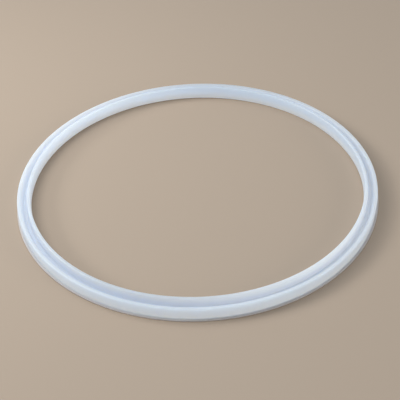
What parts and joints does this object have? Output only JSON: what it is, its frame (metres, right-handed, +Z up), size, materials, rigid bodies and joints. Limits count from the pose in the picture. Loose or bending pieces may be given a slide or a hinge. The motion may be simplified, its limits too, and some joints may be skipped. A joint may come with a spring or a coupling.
{
  "type": "pressure cooker sealing ring",
  "caption": "Closed silicone sealing ring with an upward groove between an outer rim and a taller inner lip, for the lid of a pressure cooker.",
  "frame": {"origin": "on the ring's axis, in the plane of the flat resting face under the ring", "axes": "+Z up along the ring's axis, out of the open groove; +X and +Y lie in the resting plane and are interchangeable, as the ring is a body of revolution"},
  "size_m": [0.24, 0.24, 0.01],
  "materials": {
    "silicone": "satin, milky translucent silicone rubber"
  },
  "bodies": {
    "root": {"sealing_ring": "silicone"}
  },
  "joints": []
}
